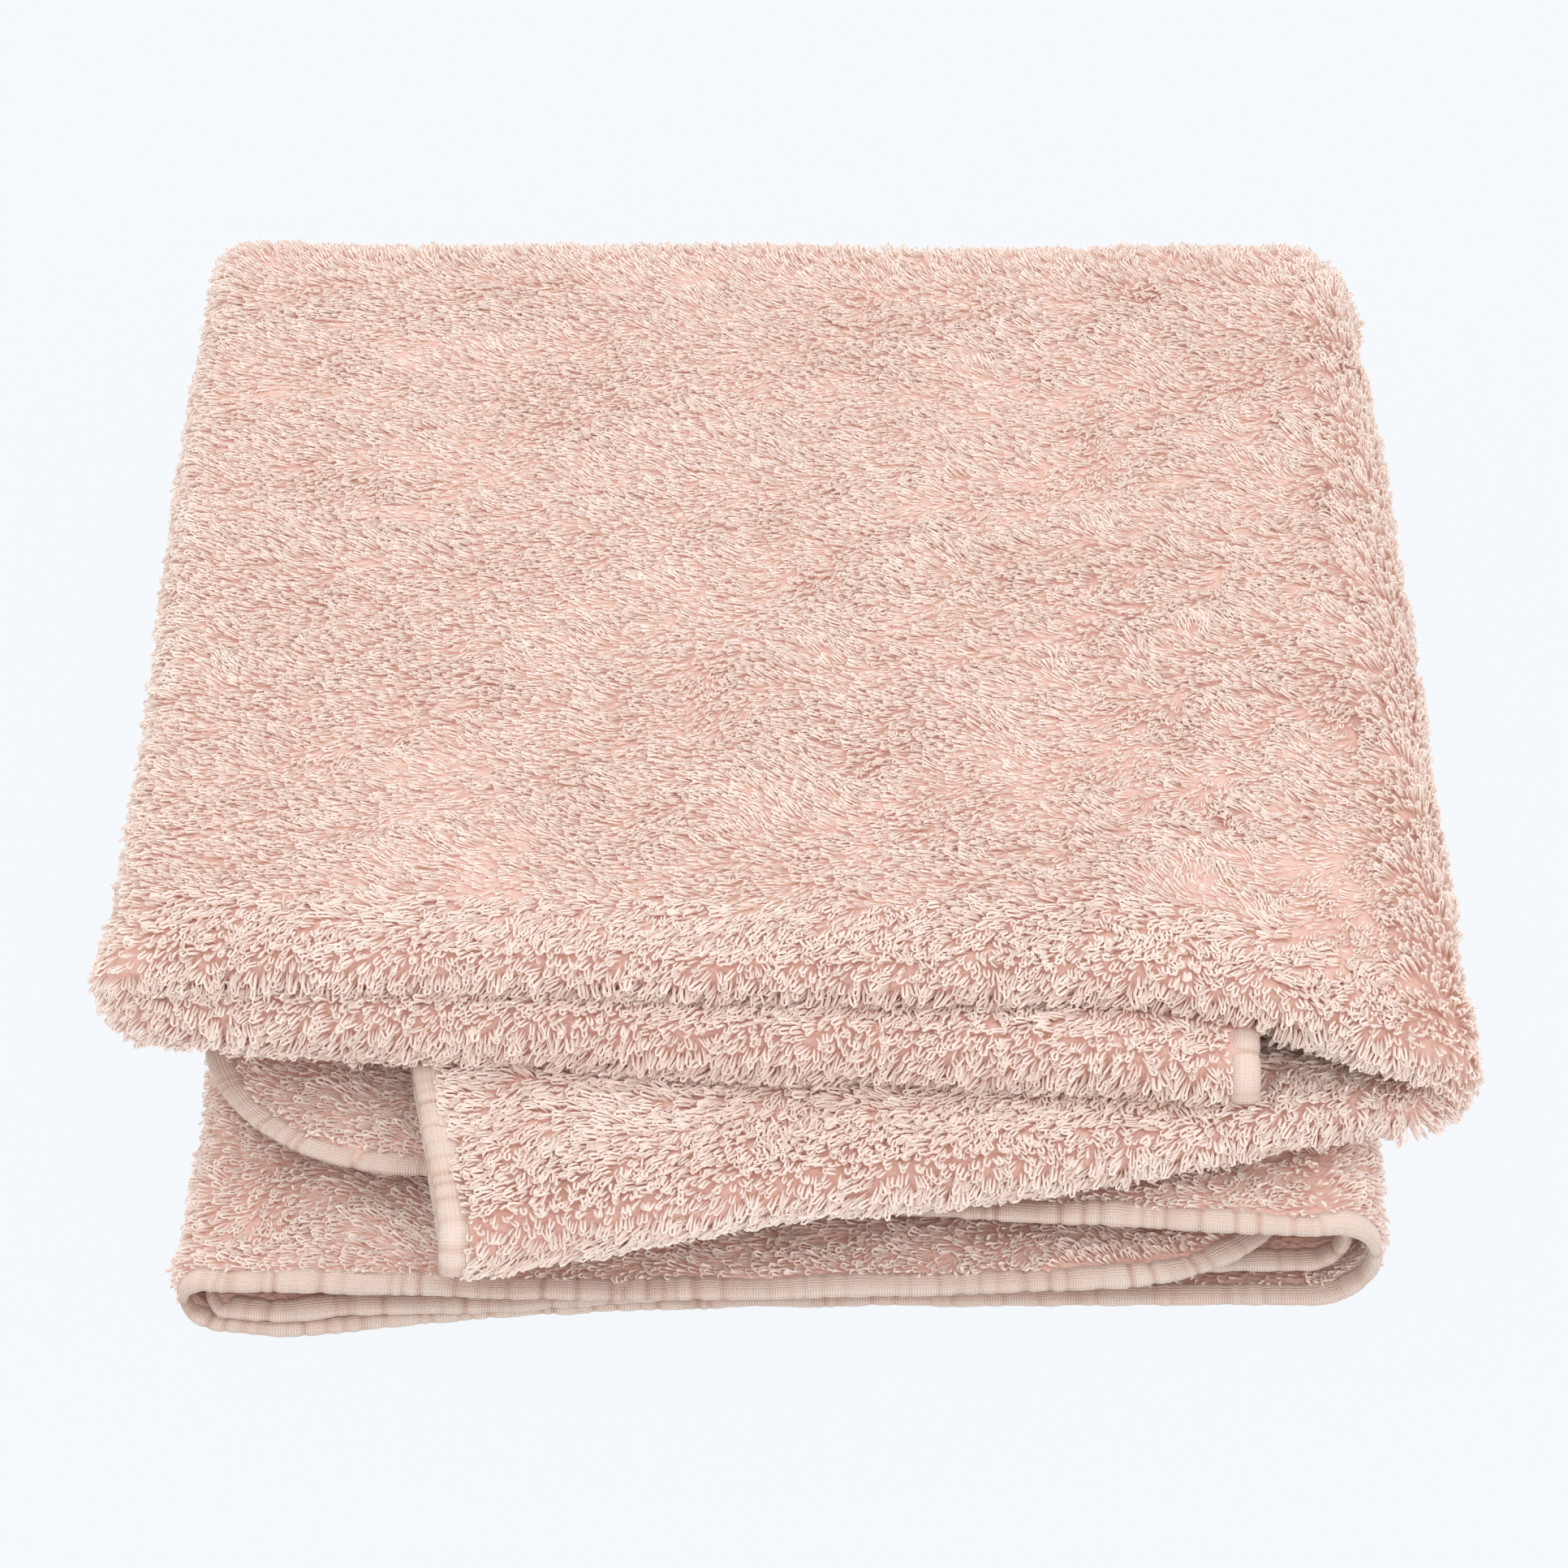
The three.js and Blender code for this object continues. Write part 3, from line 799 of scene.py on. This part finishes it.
class Nodes:
    """A material's nodes, made and joined by short calls."""

    def __init__(self, name):
        self.material = bpy.data.materials.new(name)
        self.material.use_nodes = True
        self.tree = self.material.node_tree
        self.shader = self.tree.nodes["Principled BSDF"]

    def add(self, kind, inputs=(), **settings):
        node = self.tree.nodes.new(kind)
        for key, value in settings.items():
            setattr(node, key, value)
        for key, value in dict(inputs).items():
            self.set(node.inputs[key], value)
        return node

    def set(self, socket, value):
        if isinstance(value, bpy.types.NodeSocket):
            self.tree.links.new(value, socket)
        else:
            socket.default_value = value

    def finish(self, **values):
        for key, value in values.items():
            self.set(self.shader.inputs[key.replace("_", " ")], value)
        return self.material


def colour_ramp(nodes, factor, stops):
    node = nodes.add("ShaderNodeValToRGB", {"Fac": factor})
    elements = node.color_ramp.elements
    while len(elements) < len(stops):
        elements.new(0.5)
    for element, (place, colour) in zip(elements, stops):
        element.position = place
        element.color = colour
    return node.outputs["Color"]


def mix_colour(nodes, factor, a, b, blend="MIX"):
    node = nodes.add("ShaderNodeMix", {}, data_type="RGBA", blend_type=blend)
    nodes.set(node.inputs["Factor"], factor)
    nodes.set(node.inputs["A"], a)
    nodes.set(node.inputs["B"], b)
    return node.outputs["Result"]


def bump_from(nodes, height, strength, distance):
    settings = {"Strength": strength, "Distance": distance, "Height": height}
    return nodes.add("ShaderNodeBump", settings).outputs["Normal"]


def yarn_material():
    """Cotton yarn, pale at the loop's turn and deeper and darker towards the root as painted shade, with
    each loop a little its own.
    """
    nodes = Nodes("terry_loops")
    uv = nodes.add("ShaderNodeUVMap", uv_map="OFBake")
    axes = nodes.add("ShaderNodeSeparateXYZ", {"Vector": uv.outputs["UV"]})
    # Painted shade: the colour darkens from the loop's turn down to its root.
    up = colour_ramp(
        nodes,
        axes.outputs["Y"],
        [(0.1, YARN_PAINTED_ROOT_SHADE), (0.35, YARN_PAINTED_HALF_SHADE), (0.7, PALE_YARN)],
    )
    tint = colour_ramp(nodes, axes.outputs["X"], [(0.1, DULL), (0.9, WHITE)])
    colour = mix_colour(nodes, 1.0, up, tint, "MULTIPLY")
    twist = nodes.add(
        "ShaderNodeTexWave",
        {"Vector": uv.outputs["UV"], "Scale": 9.0, "Distortion": 1.5},
        bands_direction="Y",
    )
    return nodes.finish(
        Base_Color=colour,
        Roughness=0.95,
        Normal=bump_from(nodes, twist.outputs["Fac"], 0.25, 0.0001),
        Sheen_Weight=0.25,
        Sheen_Roughness=0.6,
        Specular_IOR_Level=0.15,
    )


def ground_material():
    """The woven ground between the loops, coloured darker as painted shade deep in the pile."""
    nodes = Nodes("terry_ground")
    place = nodes.add("ShaderNodeTexCoord")
    weave = nodes.add(
        "ShaderNodeTexVoronoi",
        {"Vector": place.outputs["Object"], "Scale": 700.0, "Randomness": 0.7},
    )
    # Painted shade: the weave runs between the yarn's shaded root colour and the darker ground colour.
    colour = colour_ramp(nodes, weave.outputs["Distance"], [(0.0, YARN_PAINTED_ROOT_SHADE), (0.7, GROUND_PAINTED_SHADE)])
    return nodes.finish(
        Base_Color=colour,
        Roughness=1.0,
        Normal=bump_from(nodes, weave.outputs["Distance"], 0.8, 0.0006),
        Specular_IOR_Level=0.1,
    )


def tape_material():
    """Plain-woven cotton tape, darker between its threads, with painted shade in its puckers."""
    nodes = Nodes("edge_tape")
    uv = nodes.add("ShaderNodeUVMap", uv_map="Cloth")
    waves = []
    for turn in (0, math.pi / 2):
        side = nodes.add(
            "ShaderNodeMapping",
            {"Vector": uv.outputs["UV"], "Rotation": (0, 0, turn)},
        )
        wave = nodes.add(
            "ShaderNodeTexWave",
            {
                "Vector": side.outputs["Vector"],
                "Scale": 560.0,
                "Distortion": 0.6,
                "Detail": 1.0,
                "Detail Scale": 2.0,
            },
        )
        waves.append(wave.outputs["Fac"])
    crossed = nodes.add("ShaderNodeMath", {0: waves[0], 1: waves[1]}, operation="MULTIPLY")
    weave = crossed.outputs["Value"]
    place = nodes.add("ShaderNodeTexCoord")
    patches = nodes.add(
        "ShaderNodeTexNoise",
        {"Vector": place.outputs["Object"], "Scale": 60.0, "Detail": 3.0},
    )
    tone = colour_ramp(nodes, patches.outputs["Fac"], [(0.3, WORN_TAPE), (0.7, TAPE_COLOUR)])
    thread = colour_ramp(nodes, weave, [(0.0, BETWEEN_THREADS), (0.5, WHITE)])
    colour = mix_colour(nodes, 0.8, tone, thread, "MULTIPLY")
    # Painted shade darkens the tape in its pucker valleys.
    crease = nodes.add("ShaderNodeAttribute", attribute_name="pucker").outputs["Fac"]
    shadow = colour_ramp(nodes, crease, [(0.1, WHITE), (0.9, PUCKER_PAINTED_SHADE)])
    colour = mix_colour(nodes, 1.0, colour, shadow, "MULTIPLY")
    return nodes.finish(
        Base_Color=colour,
        Roughness=0.85,
        Normal=bump_from(nodes, weave, 0.9, 0.0003),
        Sheen_Weight=0.15,
        Specular_IOR_Level=0.25,
    )


def floor_material():
    """A studio floor that glows by itself, so that no shadow shows on it."""
    nodes = Nodes("studio_floor")
    return nodes.finish(
        Base_Color=(0.02, 0.02, 0.02, 1),
        Roughness=0.9,
        Emission_Color=FLOOR_COLOUR,
        Emission_Strength=0.965,
        Specular_IOR_Level=0.0,
    )


# ---- Studio ----

def make_studio():
    """The floor, an even white sky and two soft panels."""
    bm = bmesh.new()
    bmesh.ops.create_grid(bm, x_segments=1, y_segments=1, size=6)
    mesh = bpy.data.meshes.new("studio_floor")
    bm.to_mesh(mesh)
    bm.free()
    floor = add_object("studio_floor", mesh)
    floor.data.materials.append(floor_material())

    world = bpy.data.worlds.new("studio")
    world.use_nodes = True
    background = world.node_tree.nodes["Background"]
    background.inputs["Color"].default_value = (1.0, 0.995, 0.98, 1)
    background.inputs["Strength"].default_value = 1.07
    bpy.context.scene.world = world

    def panel(name, place, aim, size, power):
        light = bpy.data.lights.new(name, "AREA")
        light.shape = "SQUARE"
        light.size = size
        light.energy = power
        lamp = bpy.data.objects.new(name, light)
        lamp.location = place
        lamp.rotation_euler = (Vector(aim) - Vector(place)).to_track_quat("-Z", "Y").to_euler()
        bpy.context.scene.collection.objects.link(lamp)

    panel("overhead_panel", (-0.35, 0.55, 1.5), (0, 0, 0), 1.2, 3)
    panel("front_panel", (0.4, -1.6, 1.1), (0, 0, 0.03), 1.6, 7)

    scene = bpy.context.scene
    scene.view_settings.view_transform = "Standard"
    # Light goes deep into pale terry, so it needs many bounces.
    scene.cycles.max_bounces = 20
    scene.cycles.diffuse_bounces = 20


CAMERA_AHEAD = 855.8  # how far it stands in front of the lower half's front edge
CAMERA_HEIGHT = 732.2
CAMERA_DOWN = 35  # how many degrees below level it looks
CAMERA_LENS = 123.9


def make_camera():
    data = bpy.data.cameras.new("camera")
    data.sensor_width = 36
    data.lens = CAMERA_LENS
    data.clip_start = 0.05
    camera = bpy.data.objects.new("camera", data)
    camera.location = (0, (FRONT_Y - CAMERA_AHEAD) * MM, CAMERA_HEIGHT * MM)
    camera.rotation_euler = (math.radians(90 - CAMERA_DOWN), 0, 0)
    bpy.context.scene.collection.objects.link(camera)
    bpy.context.scene.camera = camera


# ---- The towel ----

make_camera()
make_studio()

cloth, cloth_weight = make_cloth()
tape, tape_weight = make_tape()
cloth.data.materials.append(ground_material())
tape.data.materials.append(tape_material())
yarn = yarn_material()


def bend_with_crease(piece):
    """Bakes the piece's placement into its mesh, and does no more."""
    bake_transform(piece)


# Each pile: its body, or None where it is left unattached, its loop, the loop's length, how far the loops
# stand up, the face of the cloth they stand on, and the stretches of cloth it covers, as spans across and
# along with the distance from loop to loop.
PILES = {
    "cover_pile": ("upper_half", lean_loop, 4.8, 0.0, 1, [((2, 3), (2, 2.93), ON_COVER)]),
    "cover_front_pile": ("upper_half", full_loop, 4.4, 0.1, 1, [
        ((2, 3), (2.93, 3), FINE), ((2, 3), (3, 4), CLOSE), ((2, 3), (4, 4.03), MEDIUM)]),
    "upper_left_side_pile": ("upper_half", plain_loop, 4.8, 0.1, 1, [
        ((1, 2), (2, 3), CLOSE), ((1, 2), (3, 4), CLOSE)]),
    "upper_right_side_pile": ("upper_half", plain_loop, 4.8, 0.1, 1, [
        ((3, 4), (2, 3), ON_RIGHT_SIDE), ((3, 4), (3, 4), CLOSE), ((3, 4), (4, 4.12), MEDIUM)]),
    "left_flap_front_pile": ("upper_half", full_loop, 4.4, 0.1, 1, [
        ((0, 1), (2.97, 3), MEDIUM), ((0, 1), (3, 4), CLOSE), ((0, 1), (4, 4.03), FINE)]),
    "right_flap_front_pile": ("upper_half", full_loop, 4.4, 0.1, 1, [
        ((4, 5), (2.97, 3), MEDIUM), ((4, 5), (3, 4), CLOSE), ((4.35, 5), (4, 4.2), ON_FLAP),
        ((4, 4.35), (4, 4.07), ON_FLAP)]),
    "lower_flap_pile": ("lower_half", plain_loop, 4.4, 0.0, 1, [
        ((4.45, 5), (0, 0.2), FINE), ((4, 4.45), (0, 0.1), FINE), ((0, 1), (0, 0.07), FINE),
        ((0.7, 1), (0.07, 0.2), FINE),
        ((0.92, 1), (0.2, 1), MEDIUM)]),
    "lower_left_side_pile": ("lower_half", plain_loop, 4.4, 0.1, 1, [
        ((1, 2), (0, 0.25), FINE), ((1, 2), (0.25, 1), MEDIUM)]),
    "lower_right_side_pile": ("lower_half", plain_loop, 4.4, 0.1, 1, [
        ((3, 4), (0, 0.25), FINE), ((3, 4), (0.25, 1), MEDIUM)]),
    "right_fold_inner_pile": ("lower_half", plain_loop, 3.6, 0.0, -1, [
        ((2.5, 3.5), (0, 0.08), MEDIUM)]),
    "back_fold_pile": (None, lean_loop, 4.8, 0.1, 1, [
        ((2, 3), (1, 2), ON_BACK_FOLD), ((1, 2), (1, 2), ON_BACK_FOLD),
        ((3, 4), (1, 2), ON_BACK_FOLD)]),
    "upper_inner_pile": ("upper_half", lean_loop, 4.8, 0.0, 1, [
        ((4, 5), (2, 2.94), COARSE), ((0.8, 1), (2, 2.95), COARSE)]),
    "lower_inner_pile": ("lower_half", lean_loop, 4.8, 0.0, 1, [
        ((4.45, 5), (0.2, 1), COARSE), ((4, 4.45), (0.1, 1), COARSE)]),
    "underside_pile": ("lower_half", lean_loop, 4.6, 0.0, 1, [((2, 3), (0, 1), ON_UNDERSIDE)]),
}

bend_with_crease(cloth)
bend_with_crease(tape)

for name, (body, shape, height, stand, face, stretches) in PILES.items():
    for piece, weight in grow(name, stretches, shape, height, stand, face):
        piece.data.materials.append(yarn)
        if body:
            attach(piece, body)
        else:
            bend_with_crease(piece)

nodes = list(frame["nodes"])
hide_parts(*[node for node in nodes if node.startswith("edge_tape")])
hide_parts(*[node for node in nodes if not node.startswith("edge_tape")])
